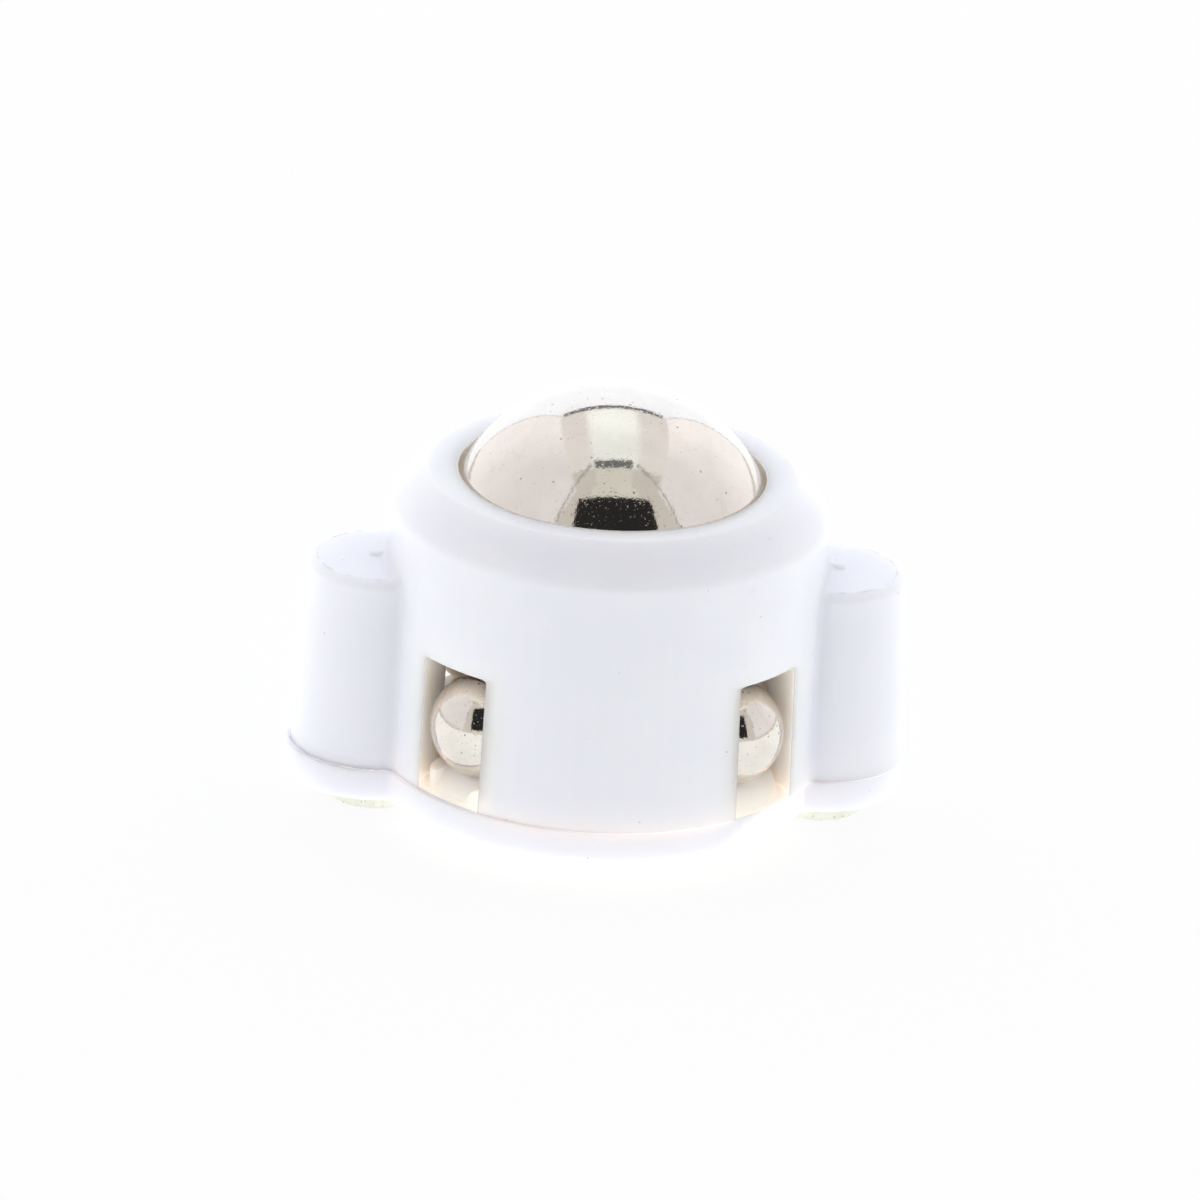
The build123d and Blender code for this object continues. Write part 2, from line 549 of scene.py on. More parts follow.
def inner_wall_group():
    """Masks of the walls inside the windows and round the ball: Inner for the painted recess
    light, and Lit for the painted glow that stands in for light through the plastic near the skin
    and at the housing's foot.
    """
    group = bpy.data.node_groups.get("Castor Inner Walls")
    if group:
        return group
    group, start, end = new_group(
        "Castor Inner Walls",
        (
            ("Place", "NodeSocketVector", None),
            ("Outside", "NodeSocketFloat", 10.55),
            ("Inside", "NodeSocketFloat", 8.6),
            ("Ball height", "NodeSocketFloat", 11.5),
            ("Ball gap", "NodeSocketFloat", 8.27),
            ("Foot height", "NodeSocketFloat", -10.0),
        ),
        (("Inner", "NodeSocketFloat"), ("Lit", "NodeSocketFloat")),
    )
    taper = 0.023
    skin_depth = 0.06
    # Shares of painted glow deep in the windows, near the skin, round the ball and at the
    # housing's foot.
    deep_share, near_share = 0.12, 0.95
    ring_share, foot_share = 0.4, 1.9
    across, along, height = split_place(group, (-700, 0), start["Place"])
    level = add_node(group, "ShaderNodeCombineXYZ", (-540, 0), None, {"X": across, "Y": along})
    length = add_node(
        group, "ShaderNodeVectorMath", (-380, 0), {"operation": "LENGTH"}, {0: level.outputs[0]}
    )
    radius = calculate(group, "MULTIPLY_ADD", (-280, 100), height, taper, length.outputs["Value"])
    skin = calculate(group, "SUBTRACT", (-380, -200), start["Outside"], skin_depth)
    inside = ramp_value(group, (-180, 0), radius, start["Outside"], skin)
    low = calculate(group, "LESS_THAN", (-180, -200), height, start["Ball height"])
    window = calculate(group, "MULTIPLY", (0, 0), inside, low)
    near = ramp_value(
        group, (-180, -380), radius, start["Inside"], skin, deep_share, near_share
    )
    window_lit = calculate(group, "MULTIPLY", (160, -100), window, near)
    ball = add_node(
        group, "ShaderNodeCombineXYZ", (-540, -560), None, {"Z": start["Ball height"]}
    )
    reach = add_node(
        group,
        "ShaderNodeVectorMath",
        (-380, -560),
        {"operation": "DISTANCE"},
        {0: start["Place"], 1: ball.outputs[0]},
    )
    ring = calculate(
        group, "LESS_THAN", (-180, -560), reach.outputs["Value"], start["Ball gap"]
    )
    high = calculate(group, "SUBTRACT", (-180, -720), 1.0, low)
    ring = calculate(group, "MULTIPLY", (0, -560), ring, high)
    both = calculate(group, "MAXIMUM", (320, 0), window, ring)
    lit = calculate(group, "MULTIPLY_ADD", (320, -200), ring, ring_share, window_lit)
    # Painted glow at the housing's foot, which lightens the shade along the seam with the plate.
    foot = calculate(group, "LESS_THAN", (160, -400), height, start["Foot height"])
    lit = calculate(group, "MULTIPLY_ADD", (480, -200), foot, foot_share, lit)
    group.links.new(both, end["Inner"])
    group.links.new(lit, end["Lit"])
    return group


def mottle(tree, place, at, patches, detail, strength):
    """Uneven patches, so many to a millimetre, as a value centred on nought."""
    inputs = {"Place": place, "Patches per mm": patches, "Detail": detail, "Strength": strength}
    return place_group(tree, mottle_group(), at, inputs).outputs[0]


def grit(tree, place, at, cells, size, share, seed):
    """Specks in a share of the cells, so many to a millimetre, as a mask."""
    inputs = {
        "Place": place,
        "Cells per mm": cells,
        "Speck size": size,
        "Share": share,
        "Seed": seed,
    }
    return place_group(tree, grit_group(), at, inputs).outputs[0]


def uneven(tree, colour, patches):
    """A colour made lighter and darker by patches."""
    shade = calculate(tree, "ADD", (-760, 300), patches, 1.0)
    scaled = add_node(
        tree,
        "ShaderNodeVectorMath",
        (-560, 300),
        {"operation": "SCALE"},
        {0: tuple(colour), "Scale": shade},
    )
    return scaled.outputs[0]


def relief(tree, height, depth, strength, inputs=None):
    """A bump of the given height map, with any further inputs."""
    values = {"Height": height, "Distance": depth, "Strength": strength, **(inputs or {})}
    return add_node(tree, "ShaderNodeBump", (-80, -420), None, values).outputs[0]


def round_edges(tree, radius):
    """Normals that round every crisp edge."""
    made = add_node(tree, "ShaderNodeBevel", (-320, -460), {"samples": 4}, {"Radius": radius})
    return made.outputs[0]


def new_material(name):
    """An empty material and its node tree."""
    material = bpy.data.materials.new(name)
    material.use_nodes = True
    material.node_tree.nodes.clear()
    return material, material.node_tree


def end_in(tree, shader, output="ShaderNodeOutputMaterial"):
    """Joins a tree's last shader to its output."""
    end = add_node(tree, output, (800, 0))
    tree.links.new(shader.outputs[0], end.inputs["Surface"])


def finish_surface(tree, inputs):
    """Ends a material in a Principled surface."""
    end_in(tree, add_node(tree, "ShaderNodeBsdfPrincipled", (500, 0), None, inputs))


def millimetre_place(tree):
    """Object coordinates in millimetres."""
    coordinates = add_node(tree, "ShaderNodeTexCoord", (-1500, 0))
    scaled = add_node(
        tree,
        "ShaderNodeVectorMath",
        (-1300, 0),
        {"operation": "SCALE"},
        {0: coordinates.outputs["Object"], "Scale": 1.0 / MM},
    )
    return scaled.outputs[0]


# Materials
def plastic_material(name, settings, seed, walls):
    """White satin plastic: faint flow patches, specks of dirt, painted lighter and warmer light
    in the recesses, and a painted glow on the inner walls.

    walls holds the sizes that tell the moulding's inner walls from its skin.
    """
    material, tree = new_material(name)
    place = millimetre_place(tree)
    # The shade mask from ambient occlusion and the inner-wall mask choose where the painted
    # lighter, warmer recess light goes.
    recess = place_group(
        tree, recess_group(), (-1000, -20), {"Reach": 2.0 * MM, "Open": 0.6, "Shut": 0.1}
    )
    inner = place_group(tree, inner_wall_group(), (-1000, -1000), {"Place": place, **walls})
    deep = calculate(tree, "MAXIMUM", (-760, -20), recess.outputs[0], inner.outputs["Inner"])
    flow = mottle(tree, place, (-1000, 200), patches=0.22, detail=3.0, strength=0.06)
    clean = uneven(tree, settings.colour, flow)
    painted_recess_lit = mix_colour(tree, (-320, 200), deep, clean, rgba(settings.painted_recess_light))
    dust = grit(tree, place, (-1000, -220), cells=0.8, size=0.045, share=0.5, seed=seed)
    faint = calculate(tree, "MULTIPLY", (-320, -60), dust, 0.5)
    dust_and_painted_light = mix_colour(tree, (-80, 120), faint, painted_recess_lit, rgba(DIRT))
    patches = mottle(tree, place, (-1000, -460), patches=0.9, detail=4.0, strength=0.12)
    skin = mottle(tree, place, (-1000, -680), patches=2.4, detail=3.0, strength=1.0)
    edges = {"Normal": round_edges(tree, settings.edge_radius)}
    # Painted glow: emission on the inner walls, the ring round the ball and the housing's foot.
    painted_glow_mix = mix_colour(
        tree, (-80, -760), inner.outputs["Lit"], rgba((0, 0, 0)), rgba(settings.painted_glow_colour)
    )
    finish_surface(
        tree,
        {
            "Base Color": dust_and_painted_light,
            "Roughness": calculate(
                tree, "ADD", (-320, -260), patches, settings.gloss_roughness
            ),
            "Normal": relief(tree, skin, 0.006 * MM, 0.35, edges),
            "IOR": 1.49,
            "Specular IOR Level": 0.36,
            "Subsurface Weight": 1.0,
            "Subsurface Radius": (1.0, 0.92, 0.85),
            "Subsurface Scale": settings.light_reach,
            # The painted glow goes in as emission.
            "Emission Color": painted_glow_mix,
            "Emission Strength": settings.painted_glow,
        },
    )
    return material


def flash_material(settings):
    """The thin edge of plastic squeezed out where the mould closed, painted darker high up as
    shade along the crease round the tower tops.
    """
    material, tree = new_material("Castor moulding flash")
    place = millimetre_place(tree)
    flow = mottle(tree, place, (-1000, 200), patches=1.5, detail=4.0, strength=0.3)
    clean = uneven(tree, settings.flash_colour, flow)
    height = split_place(tree, (-760, 0), place)[2]
    # Painted shade: the flash on the tower tops is darkened to show the crease.
    crease_shade = ramp_value(tree, (-560, 0), height, 5.0, 9.0, 0.0, 0.7)
    finish_surface(
        tree,
        {
            "Base Color": mix_colour(tree, (-320, 200), crease_shade, clean, rgba(CREASE_SHADE)),
            "Roughness": calculate(tree, "ADD", (-320, -260), flow, settings.gloss_roughness),
            "IOR": 1.49,
        },
    )
    return material


def steel_material(name, settings, seed, wear):
    """Polished bearing steel with pits, scuffs, hairline scratches and handling marks."""
    material, tree = new_material(name)
    place = millimetre_place(tree)
    haze = mottle(tree, place, (-1000, 240), patches=0.8, detail=8.0, strength=0.2 * wear)
    pits = grit(
        tree, place, (-1000, 40), cells=2.2, size=0.15, share=0.5 * wear, seed=seed
    )
    fine_pits = grit(
        tree, place, (-1000, -200), cells=5.2, size=0.17, share=0.16 * wear, seed=seed + 4.7
    )
    scratches = place_group(
        tree,
        hairline_group(),
        (-1000, -420),
        {"Place": place, "Cells per mm": 0.4, "Width": 0.01, "Cover": 0.2 * wear},
    )
    scuffs = mottle(tree, place, (-1000, -640), patches=7.0, detail=4.0, strength=1.0)
    grain = mottle(tree, place, (-1000, -860), patches=4.2, detail=3.0, strength=1.0)
    marks = calculate(tree, "MAXIMUM", (-760, 0), pits, fine_pits)
    dull = calculate(tree, "MULTIPLY", (-600, 0), marks, 0.6)
    clean = uneven(tree, settings.colour, haze)
    pitted = mix_colour(tree, (-320, 200), dull, clean, rgba(PIT))
    faint = calculate(tree, "MULTIPLY", (-320, 20), scratches.outputs[0], 0.2)
    scuffed = ramp_value(tree, (-600, -300), scuffs, 0.07, 0.2, 0.0, 0.3 * wear)
    rough = calculate(tree, "MULTIPLY_ADD", (-320, -140), marks, 0.2, 0.06)
    dents = calculate(tree, "MULTIPLY_ADD", (-600, -500), marks, -0.6, grain)
    finish_surface(
        tree,
        {
            "Base Color": mix_colour(tree, (-100, 160), faint, pitted, rgba(SCRATCH)),
            "Roughness": calculate(tree, "ADD", (-160, -140), rough, scuffed),
            "Metallic": 1.0,
            "Normal": relief(tree, dents, 0.006 * MM, 0.5 * wear),
        },
    )
    return material


def plating_material(settings):
    """Yellowish zinc plating, speckled and a little rough."""
    material, tree = new_material("Castor yellow plating")
    place = millimetre_place(tree)
    tone = mottle(tree, place, (-1000, 240), patches=2.2, detail=5.0, strength=1.3)
    specks = grit(tree, place, (-1000, 0), cells=5.0, size=0.32, share=0.45, seed=2.0)
    bare = calculate(tree, "ADD", (-760, 240), tone, 0.4, clamp=True)
    metal = mix_colour(tree, (-500, 200), bare, rgba(settings.colour), rgba(BARE_PLATING))
    faint = calculate(tree, "MULTIPLY", (-500, 0), specks, 0.6)
    edges = {"Normal": round_edges(tree, 0.08 * MM)}
    finish_surface(
        tree,
        {
            "Base Color": mix_colour(tree, (-260, 120), faint, metal, rgba(TARNISH)),
            "Roughness": calculate(tree, "MULTIPLY_ADD", (-260, -120), specks, 0.3, 0.28),
            "Metallic": 1.0,
            "Normal": relief(tree, tone, 0.02 * MM, 0.5, edges),
        },
    )
    return material


# Meshes
def link_object(name, mesh):
    made = bpy.data.objects.new(name, mesh)
    bpy.context.scene.collection.objects.link(made)
    return made


def merged_copy(node, name, crease_degrees=34.0, foot_gap=0.0):
    """A copy of a solid's mesh, joined up, with smooth curves and crisp edges.

    foot_gap lifts its lowest points, to leave room for light between two touching faces.
    """
    weld = 0.0002 * MM
    foot_layer = 0.001 * MM
    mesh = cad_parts[node].data.copy()
    mesh.name = name
    mesh.materials.clear()
    stored = mesh.attributes.get("custom_normal")
    if stored:
        mesh.attributes.remove(stored)
    work = bmesh.new()
    work.from_mesh(mesh)
    bmesh.ops.remove_doubles(work, verts=work.verts, dist=weld)
    foot = min(vert.co.z for vert in work.verts) + foot_layer
    for vert in work.verts:
        if vert.co.z < foot:
            vert.co.z += foot_gap
    for face in work.faces:
        face.smooth = True
    for edge in work.edges:
        joined = len(edge.link_faces) == 2
        edge.smooth = joined and edge.calc_face_angle(0.0) < math.radians(crease_degrees)
    work.to_mesh(mesh)
    work.free()
    made = link_object(name, mesh)
    even = made.modifiers.new("Even shading", "WEIGHTED_NORMAL")
    even.mode = "FACE_AREA"
    even.weight = 50
    even.keep_sharp = True
    return set_mesh(made)


def set_mesh(made):
    """Replaces an object's mesh with its evaluated one and removes its modifiers."""
    ready = made.evaluated_get(bpy.context.evaluated_depsgraph_get())
    mesh = bpy.data.meshes.new_from_object(ready)
    made.modifiers.clear()
    made.data = mesh
    return made


def ball_mesh(name, node, rings):
    """A smooth ball in the place of a solid one."""
    low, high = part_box(node)
    centre = (low + high) / 2
    radius = (high.z - low.z) / 2
    mesh = bpy.data.meshes.new(name)
    work = bmesh.new()
    bmesh.ops.create_uvsphere(
        work,
        u_segments=rings * 2,
        v_segments=rings,
        radius=radius,
        matrix=Matrix.Translation(centre),
    )
    for face in work.faces:
        face.smooth = True
    work.to_mesh(mesh)
    work.free()
    return link_object(name, mesh)


def new_geometry_tree(name, *sizes):
    """An empty geometry nodes tree. A mesh, a place, the named sizes and a material go in."""
    tree = bpy.data.node_groups.new(name, "GeometryNodeTree")
    kinds = {"Geometry": "Geometry", "Place": "Vector", "Material": "Material"}
    for label in ("Geometry", "Place", *sizes, "Material"):
        kind = kinds.get(label, "Float")
        tree.interface.new_socket(name=label, in_out="INPUT", socket_type=f"NodeSocket{kind}")
    tree.interface.new_socket(
        name="Geometry", in_out="OUTPUT", socket_type="NodeSocketGeometry"
    )
    return tree, tree.nodes.new("NodeGroupInput").outputs


def sweep_bead(tree, start, path, size, sides, radius):
    """Sweeps a bead along a path, puts it in place, joins it to the mesh and paints both."""
    profile = add_node(
        tree,
        "GeometryNodeCurvePrimitiveCircle",
        (-140, -300),
        {"mode": "RADIUS"},
        {"Resolution": sides, "Radius": radius},
    )
    bead = add_node(
        tree,
        "GeometryNodeCurveToMesh",
        (60, 0),
        None,
        {"Curve": path, "Profile Curve": profile.outputs[0], "Scale": size, "Fill Caps": True},
    )
    moved = add_node(
        tree,
        "GeometryNodeTransform",
        (240, 0),
        None,
        {"Geometry": bead.outputs[0], "Translation": start["Place"]},
    )
    joined = tree.nodes.new("GeometryNodeJoinGeometry")
    tree.links.new(start["Geometry"], joined.inputs[0])
    tree.links.new(moved.outputs[0], joined.inputs[0])
    real = add_node(
        tree, "GeometryNodeRealizeInstances", (420, 0), None, {0: joined.outputs[0]}
    )
    painted = add_node(
        tree,
        "GeometryNodeSetMaterial",
        (600, 0),
        None,
        {"Geometry": real.outputs[0], "Material": start["Material"]},
    )
    end = tree.nodes.new("NodeGroupOutput")
    tree.links.new(painted.outputs[0], end.inputs[0])


def thread_tree():
    """Geometry nodes for a thread: a tapering ridge wound round an upright core."""
    tree, start = new_geometry_tree(
        "Castor Screw Thread", "Length", "Pitch", "Core radius", "Crest"
    )
    turns = calculate(tree, "DIVIDE", (-700, 0), start["Length"], start["Pitch"])
    spiral = add_node(
        tree,
        "GeometryNodeCurveSpiral",
        (-500, 0),
        None,
        {
            "Resolution": 40,
            "Rotations": turns,
            "Start Radius": start["Core radius"],
            "End Radius": start["Core radius"],
            "Height": start["Length"],
            "Reverse": False,
        },
    )
    upright = add_node(
        tree,
        "GeometryNodeSetCurveNormal",
        (-320, 0),
        {"mode": "Z_UP"},
        {"Curve": spiral.outputs[0]},
    )
    along = tree.nodes.new("GeometryNodeSplineParameter").outputs["Factor"]
    rise = ramp_value(tree, (-500, -300), along, 0.0, 0.08, 0.15, 1.0)
    fall = ramp_value(tree, (-500, -520), along, 0.86, 1.0, 1.0, 0.1)
    taper = calculate(tree, "MULTIPLY", (-320, -400), rise, fall)
    sweep_bead(tree, start, upright.outputs[0], taper, 3, start["Crest"])
    return tree


def flash_tree():
    """Geometry nodes for moulding flash: a thin ragged bead along an arc."""
    tree, start = new_geometry_tree(
        "Castor Flash", "Arc radius", "From angle", "Sweep", "Bead", "Cover", "Seed"
    )
    arc = add_node(
        tree,
        "GeometryNodeCurveArc",
        (-700, 0),
        {"mode": "RADIUS"},
        {
            "Resolution": 180,
            "Radius": start["Arc radius"],
            "Start Angle": start["From angle"],
            "Sweep Angle": start["Sweep"],
        },
    )
    along = tree.nodes.new("GeometryNodeSplineParameter").outputs["Length"]
    place = calculate(tree, "MULTIPLY_ADD", (-700, -300), along, 1.0 / MM, start["Seed"])
    ragged = add_node(
        tree,
        "ShaderNodeTexNoise",
        (-500, -300),
        {"noise_dimensions": "1D"},
        {"W": place, "Scale": 0.7, "Detail": 4.0, "Roughness": 0.7},
    )
    least = calculate(tree, "SUBTRACT", (-500, -500), 0.9, start["Cover"])
    most = calculate(tree, "ADD", (-500, -640), least, 0.3)
    size = ramp_value(tree, (-300, -300), ragged.outputs[0], least, most, 0.05, 1.0)
    sweep_bead(tree, start, arc.outputs[0], size, 6, start["Bead"])
    return tree


def set_inputs(modifier, values):
    """Sets a geometry nodes modifier's inputs by their sockets' identifiers."""
    for item in modifier.node_group.interface.items_tree:
        if item.item_type == "SOCKET" and item.in_out == "INPUT" and item.name in values:
            modifier[item.identifier] = values[item.name]


def dress(made, material, body, slot, *nodes):
    """Gives a finished piece its material and its body, and hides the solids that it stands for.
    """
    made.data.materials.clear()
    made.data.materials.append(material)
    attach(made, body)
    if nodes:
        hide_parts(*nodes)


def flash_piece(finish):
    """The moulding flash of both towers, as one mesh."""
    tree = flash_tree()
    beads = link_object("moulding_flash", bpy.data.meshes.new("moulding_flash"))
    for x, z, radius, first, sweep, bead, cover, seed in FLASH:
        ridge = beads.modifiers.new("Flash", "NODES")
        ridge.node_group = tree
        set_inputs(
            ridge,
            {
                "Place": (x * MM, 0.0, z * MM),
                "Arc radius": radius * MM,
                "From angle": math.radians(first),
                "Sweep": math.radians(sweep),
                "Bead": bead * MM,
                "Cover": cover,
                "Seed": seed,
                "Material": finish,
            },
        )
    set_mesh(beads)
    for face in beads.data.polygons:
        face.use_smooth = True
    return beads


# Operators
class CASTOR_OT_mouldings(bpy.types.Operator):
    """Dress the housing and the base plate as white mouldings"""

    bl_idname = "castor.mouldings"
    bl_label = "Mouldings"
    bl_options = {"REGISTER", "UNDO"}

    def execute(self, context):
        settings = context.scene.castor_plastic
        for node, slot, seed, gap, skin_radius, foot_height in (
            ("housing", "white_plastic", 0.0, settings.seam_gap, HOUSING_SKIN, SEAM_HEIGHT),
            ("base_plate", "plate_plastic", 7.3, 0.0, PLATE_SKIN, NO_FOOT),
        ):
            # These sizes place the painted recess light and the painted glow; the plate has no
            # foot, so no foot glow.
            walls = {
                "Outside": skin_radius,
                "Inside": POCKET_WALL,
                "Ball height": BALL_HEIGHT,
                "Ball gap": BALL_REACH,
                "Foot height": foot_height,
            }
            piece = merged_copy(node, f"moulded_{node}", foot_gap=gap)
            name = f"Castor {slot.replace('_', ' ')}"
            material = plastic_material(name, settings, seed, walls)
            dress(piece, material, "housing", slot, node)
        finish = flash_material(settings)
        dress(flash_piece(finish), finish, "housing", "white_plastic")
        return {"FINISHED"}


class CASTOR_OT_balls(bpy.types.Operator):
    """Make the polished main ball and its four support balls"""

    bl_idname = "castor.balls"
    bl_label = "Balls"
    bl_options = {"REGISTER", "UNDO"}

    def execute(self, context):
        settings = context.scene.castor_steel
        main_finish = steel_material("Castor main ball steel", settings, 0.0, 1.0)
        support_finish = steel_material("Castor support ball steel", settings, 11.0, 1.7)
        for node in BALLS:
            main = node == "main_ball"
            rings = settings.rings if main else settings.rings // 2
            piece = ball_mesh(f"polished_{node}", node, rings)
            dress(
                piece,
                main_finish if main else support_finish,
                node,
                "polished_steel" if main else "support_steel",
                node,
            )
        return {"FINISHED"}


class CASTOR_OT_screws(bpy.types.Operator):
    """Cut the threads of the two screws and plate them"""

    bl_idname = "castor.screws"
    bl_label = "Screws"
    bl_options = {"REGISTER", "UNDO"}

    def execute(self, context):
        settings = context.scene.castor_screws
        finish = plating_material(settings)
        tree = thread_tree()
        for node in SCREWS:
            low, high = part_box(node)
            piece = merged_copy(node, f"threaded_{node}", 30.0)
            winding = piece.modifiers.new("Thread", "NODES")
            winding.node_group = tree
            set_inputs(
                winding,
                {
                    "Place": ((low.x + high.x) / 2, 0.0, THREAD_START * MM),
                    "Length": high.z - THREAD_UNCUT * MM,
                    "Pitch": settings.pitch,
                    "Core radius": THREAD_CORE * MM,
                    "Crest": settings.crest,
                    "Material": finish,
                },
            )
            set_mesh(piece)
            dress(piece, finish, "housing", "plated_steel", node)
        return {"FINISHED"}


def card(name, corners, material):
    """A flat four-cornered card, seen only in reflections and as light."""
    mesh = bpy.data.meshes.new(name)
    mesh.from_pydata([Vector(c) for c in corners], [], [(0, 1, 2, 3)])
    mesh.materials.append(material)
    made = link_object(name, mesh)
    made.visible_camera = False
    made.visible_shadow = False
    return made


def light_material(name):
    """An empty material for a thing that glows, found by rays and not aimed at."""
    material, tree = new_material(name)
    material.cycles.emission_sampling = "NONE"
    return material, tree


def emission(tree, colour, strength):
    inputs = {"Color": colour, "Strength": strength}
    return add_node(tree, "ShaderNodeEmission", (300, 0), None, inputs)


def ray_kind(tree, kind):
    """1 for rays of the given kind, and 0 for others."""
    return tree.nodes.new("ShaderNodeLightPath").outputs[kind]


def object_axes(tree, at):
    """The X, Y and Z of the object coordinates, in metres."""
    return split_place(tree, at, tree.nodes.new("ShaderNodeTexCoord").outputs["Object"])


def glow(name, colour, strength, ramp=None, soft=1.0):
    """A plain glowing cloth.

    ramp is (axis, start, end, factor at the start, factor at the end) along the cloth,
    and soft is the share of its light that pale matt surfaces get.
    """
    material, tree = light_material(name)
    if ramp:
        axis, start, end, first, last = ramp
        along = object_axes(tree, (-400, 0))[axis]
        strength = ramp_value(
            tree, (-200, 0), along, start, end, first * strength, last * strength
        )
    if soft < 1.0:
        less = (soft - 1.0) * strength
        matt = ray_kind(tree, "Is Diffuse Ray")
        strength = calculate(tree, "MULTIPLY_ADD", (-200, -200), matt, less, strength)
    end_in(tree, emission(tree, rgba(colour), strength))
    return material


def roof_material(settings):
    """The tent's roof cloth with the soft bright patch of the lamp behind it."""
    h, wall = settings.tent_height, settings.wall_light
    lamp_x, lamp_in, lamp_out = 0.02 * h, 0.19 * h, 0.27 * h
    lamp_end, cloth_start = 0.8 * h, 0.97 * h
    cloth, lamp_near, lamp_far = wall * 0.9, wall * 1.05, wall * 1.24
    matt_extra = 0.1
    material, tree = light_material("Tent roof cloth")
    x, y = object_axes(tree, (-800, 0))[:2]
    off = calculate(tree, "SUBTRACT", (-620, 120), x, lamp_x)
    off = calculate(tree, "ABSOLUTE", (-460, 120), off)
    across = ramp_value(tree, (-300, 120), off, lamp_out, lamp_in)
    along = ramp_value(tree, (-300, -120), y, cloth_start, lamp_end)
    patch = calculate(tree, "MULTIPLY", (-100, 0), across, along)
    lit = ramp_value(tree, (-300, -360), y, 0.0, 0.6 * h, lamp_near, lamp_far)
    extra = calculate(tree, "SUBTRACT", (-100, -240), lit, cloth)
    strength = calculate(tree, "MULTIPLY_ADD", (80, -120), extra, patch, cloth)
    matt = ray_kind(tree, "Is Diffuse Ray")
    more = calculate(tree, "MULTIPLY_ADD", (80, -300), matt, matt_extra, 1.0)
    strength = calculate(tree, "MULTIPLY", (240, -120), strength, more)
    tint = mix_colour(tree, (80, 120), patch, rgba((1.0, 1.0, 0.985)), rgba((0.93, 1.0, 0.98)))
    end_in(tree, emission(tree, tint, strength))
    return material


def floor_material(settings):
    """White floor, lit from below as well: it keeps the shadow, and the camera sees white."""
    under = settings.floor_light
    glow_share, camera_share = 0.5, 0.4
    material, tree = light_material("Castor floor")
    paper = add_node(
        tree, "ShaderNodeBsdfDiffuse", (0, 0), None, {"Color": rgba((0.92, 0.92, 0.92))}
    )
    direct = ray_kind(tree, "Is Camera Ray")
    strength = calculate(tree, "MULTIPLY_ADD", (-200, -160), direct, 1.0 - under, under)
    tint = mix_colour(tree, (-200, -360), direct, rgba((0.95, 1.0, 0.985)), rgba(WHITE))
    white = emission(tree, tint, strength)
    share = calculate(tree, "MULTIPLY_ADD", (0, 200), direct, camera_share, glow_share)
    inputs = {0: share, 1: paper.outputs[0], 2: white.outputs[0]}
    end_in(tree, add_node(tree, "ShaderNodeMixShader", (520, 0), None, inputs))
    return material


def flat(axis, at, first, second):
    """Four corners of a card across an axis, between two opposite corners in the other two."""
    (a0, b0), (a1, b1) = first, second
    corners = [(a0, b0), (a1, b0), (a1, b1), (a0, b1)]
    if axis == "x":
        return [(at, a, b) for a, b in corners]
    if axis == "y":
        return [(a, at, b) for a, b in corners]
    return [(a, b, at) for a, b in corners]


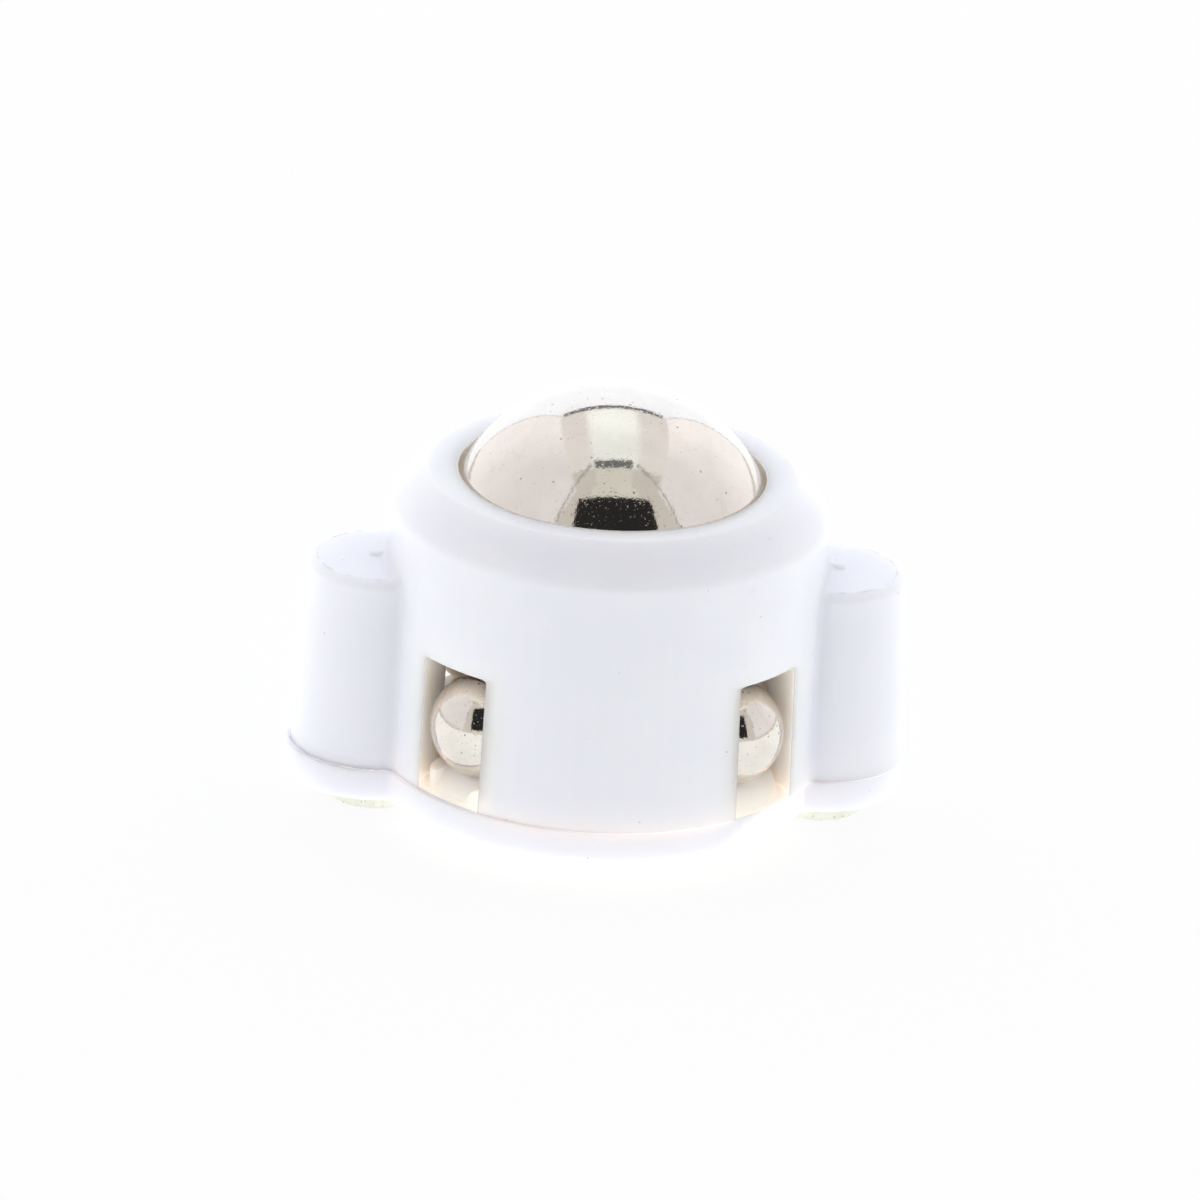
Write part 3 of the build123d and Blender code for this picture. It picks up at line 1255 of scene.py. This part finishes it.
def tent_cards(settings, middle):
    """The light tent: bright back, sides and roof, and a dark opening at the front."""
    h = settings.tent_height
    wall = settings.wall_light
    left, right = -0.48 * h, 0.57 * h
    front, back = -0.46 * h, 0.99 * h
    low, top = middle.z - 0.02, middle.z + h
    foot = middle.z + 0.035 * h
    neck = -0.2 * h
    side_tone = (0.985, 0.985, 1.0)
    side_ramp = (1, -0.1 * h, 0.7 * h, 0.93, 1.18)
    side_left, side_right = (
        glow(f"Tent {name} cloth", side_tone, wall * 1.01 * level, side_ramp)
        for name, level in (("left", 0.955), ("right", 0.98))
    )
    band = glow("Tent side foot", (1.0, 1.0, 0.97), wall * 0.72)
    rear = glow("Tent back cloth", (0.87, 0.93, 1.0), wall * 1.33, soft=0.8)
    roof = roof_material(settings)
    flap = glow("Tent front flap", (0.98, 1.0, 0.92), wall * 0.78)
    flank = glow("Tent front flank", (1.0, 0.98, 0.92), wall * 0.7)
    seam = glow("Tent seam", WHITE, wall * 0.45)
    slot = glow("Tent roof slot", WHITE, wall * 0.19)
    bar = glow("Tent back bar", (1.0, 1.0, 1.02), wall * 0.2)
    cards = [
        card("Tent back wall", flat("y", back, (left, low), (right, top)), rear),
        card("Tent roof", flat("z", top, (left, neck), (right, back)), roof),
    ]
    for name, x, side in (("left", left, side_left), ("right", right, side_right)):
        cards.append(card(f"Tent {name} wall", flat("x", x, (front, foot), (back, top)), side))
        cards.append(card(f"Tent {name} foot", flat("x", x, (front, low), (back, foot)), band))

    # The roof's slot and the dark bar along its back edge hang just under it.
    layer = 0.002 * h
    under, ahead = top - layer, back - layer
    slot_left, slot_right, slot_back = -0.2 * h, 0.19 * h, -0.09 * h
    bar_left, bar_right = -0.44 * h, 0.52 * h
    bar_start, bar_foot = 0.915 * h, top - 0.045 * h
    for name, corners, cloth in (
        ("roof slot", flat("z", under, (slot_left, neck), (slot_right, slot_back)), slot),
        ("bar over", flat("z", under, (bar_left, bar_start), (bar_right, back)), bar),
        ("bar behind", flat("y", ahead, (bar_left, bar_foot), (bar_right, top)), bar),
    ):
        cards.append(card(f"Tent {name}", corners, cloth))

    # The front: cloth all round an opening that widens upwards.
    mouth_low, mouth_high = middle.z + 0.065 * h, middle.z + 0.725 * h
    foot_left, foot_right, head_side = -0.25 * h, 0.285 * h, 0.364 * h
    flap_side = 0.25 * h
    for name, side, foot_side, head in (
        ("left", left, foot_left, -head_side),
        ("right", right, foot_right, head_side),
    ):
        corners = [(side, low), (foot_side, low), (head, mouth_high), (side, mouth_high)]
        cards.append(card(f"Tent front {name}", [(x, front, z) for x, z in corners], flank))
    for name, corner, opposite, cloth in (
        ("foot", (foot_left, low), (foot_right, mouth_low), flap),
        ("head", (-flap_side, mouth_high), (flap_side, top), flap),
        ("head left", (left, mouth_high), (-flap_side, top), flank),
        ("head right", (flap_side, mouth_high), (right, top), flank),
    ):
        cards.append(card(f"Tent front {name}", flat("y", front, corner, opposite), cloth))
    neck_side = 0.2 * h
    for name, x0, x1, cloth in (
        ("middle", -neck_side, neck_side, flap),
        ("left", left, -neck_side, flank),
        ("right", neck_side, right, flank),
    ):
        cards.append(card(f"Tent neck {name}", flat("z", top, (x0, front), (x1, neck)), cloth))

    # Seams run from the slot's ends over the roof and down the front corners.
    wide, corner_wide = 0.03 * h, 0.039 * h
    seam_layer = 0.003 * h
    lower = top - seam_layer
    start_near, start_far, corner_y = -0.15 * h, -0.12 * h, -0.36 * h
    drop_y, drop_foot = -0.40 * h, middle.z + 0.3 * h
    back_seam = back - 0.02 * h
    for sign, side_x, start_x in ((-1, left, -0.215 * h), (1, right, 0.22 * h)):
        inset = side_x - sign * seam_layer
        cards.append(
            card(
                f"Tent roof seam {sign}",
                [
                    (start_x, start_near, lower),
                    (start_x + sign * wide, start_far, lower),
                    (inset, corner_y, lower),
                    (inset, corner_y - corner_wide, lower),
                ],
                seam,
            )
        )
        cards.append(
            card(
                f"Tent front seam {sign}",
                [
                    (inset, drop_y, top),
                    (inset, drop_y + wide, top),
                    (inset, front + wide, drop_foot),
                    (inset, front, drop_foot),
                ],
                seam,
            )
        )
        cards.append(
            card(
                f"Tent back seam {sign}",
                flat("x", inset, (back_seam, foot), (back, top)),
                seam,
            )
        )
    return cards


def aim_camera(settings, target):
    """A camera at the photograph's angle, with the photograph's roll."""
    turn, rise = settings.camera_turn, settings.camera_elevation
    away = Vector(
        (
            math.sin(turn) * math.cos(rise),
            -math.cos(turn) * math.cos(rise),
            math.sin(rise),
        )
    )
    data = bpy.data.cameras.new("Photo camera")
    data.sensor_width = 36.0
    data.lens = settings.focal_length
    data.clip_start = 0.01
    data.clip_end = 50.0
    camera = bpy.data.objects.new("Photo camera", data)
    bpy.context.scene.collection.objects.link(camera)
    look = (-away).to_track_quat("-Z", "Y").to_matrix().to_4x4()
    roll = Matrix.Rotation(settings.camera_roll, 4, "Z")
    place = Matrix.Translation(target + away * settings.camera_distance)
    camera.matrix_world = place @ look @ roll
    bpy.context.scene.camera = camera


class CASTOR_OT_stage(bpy.types.Operator):
    """Set the floor, the light tent, the backdrop and the camera"""

    bl_idname = "castor.stage"
    bl_label = "Stage"
    bl_options = {"REGISTER", "UNDO"}

    def execute(self, context):
        settings = context.scene.castor_stage
        low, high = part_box("main_ball")
        middle = (low + high) / 2
        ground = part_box("screw_left")[0].z
        reach = 6.0
        mesh = bpy.data.meshes.new("Floor")
        corners = flat("z", ground, (-reach, -reach), (reach, reach))
        mesh.from_pydata(corners, [], [(0, 1, 2, 3)])
        mesh.materials.append(floor_material(settings))
        floor = link_object("Floor", mesh)
        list(tent_cards(settings, middle))

        dim = 0.03
        world = bpy.data.worlds.new("Backdrop")
        world.use_nodes = True
        tree = world.node_tree
        tree.nodes.clear()
        direct = ray_kind(tree, "Is Camera Ray")
        level = calculate(tree, "MULTIPLY_ADD", (0, 0), direct, 1.0 - dim, dim)
        inputs = {"Color": rgba(WHITE), "Strength": level}
        sky = add_node(tree, "ShaderNodeBackground", (200, 0), None, inputs)
        end_in(tree, sky, "ShaderNodeOutputWorld")
        context.scene.world = world
        context.scene.view_settings.view_transform = "Standard"
        aim_camera(settings, Vector(CAMERA_TARGET) * MM)
        return {"FINISHED"}


class CASTOR_PT_panel(bpy.types.Panel):
    """Sizes and colours of the ball castor"""

    bl_idname = "CASTOR_PT_panel"
    bl_label = "Ball Castor"
    bl_space_type = "VIEW_3D"
    bl_region_type = "UI"
    bl_category = "Castor"

    def draw(self, context):
        scene = context.scene
        for group, operator in (
            (scene.castor_plastic, "castor.mouldings"),
            (scene.castor_steel, "castor.balls"),
            (scene.castor_screws, "castor.screws"),
            (scene.castor_stage, "castor.stage"),
        ):
            box = self.layout.box()
            for key in group.__annotations__:
                box.prop(group, key)
            box.operator(operator)


SETTINGS = {
    "castor_plastic": CastorPlasticSettings,
    "castor_steel": CastorSteelSettings,
    "castor_screws": CastorScrewSettings,
    "castor_stage": CastorStageSettings,
}
CLASSES = (
    *SETTINGS.values(),
    CASTOR_OT_mouldings,
    CASTOR_OT_balls,
    CASTOR_OT_screws,
    CASTOR_OT_stage,
    CASTOR_PT_panel,
)


def register():
    for item in CLASSES:
        bpy.utils.register_class(item)
    for name, group in SETTINGS.items():
        setattr(bpy.types.Scene, name, PointerProperty(type=group))


def unregister():
    for name in SETTINGS:
        delattr(bpy.types.Scene, name)
    for item in reversed(CLASSES):
        bpy.utils.unregister_class(item)


def main():
    register()
    bpy.ops.castor.mouldings()
    bpy.ops.castor.balls()
    bpy.ops.castor.screws()
    bpy.ops.castor.stage()
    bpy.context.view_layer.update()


if __name__ == "__main__":
    main()
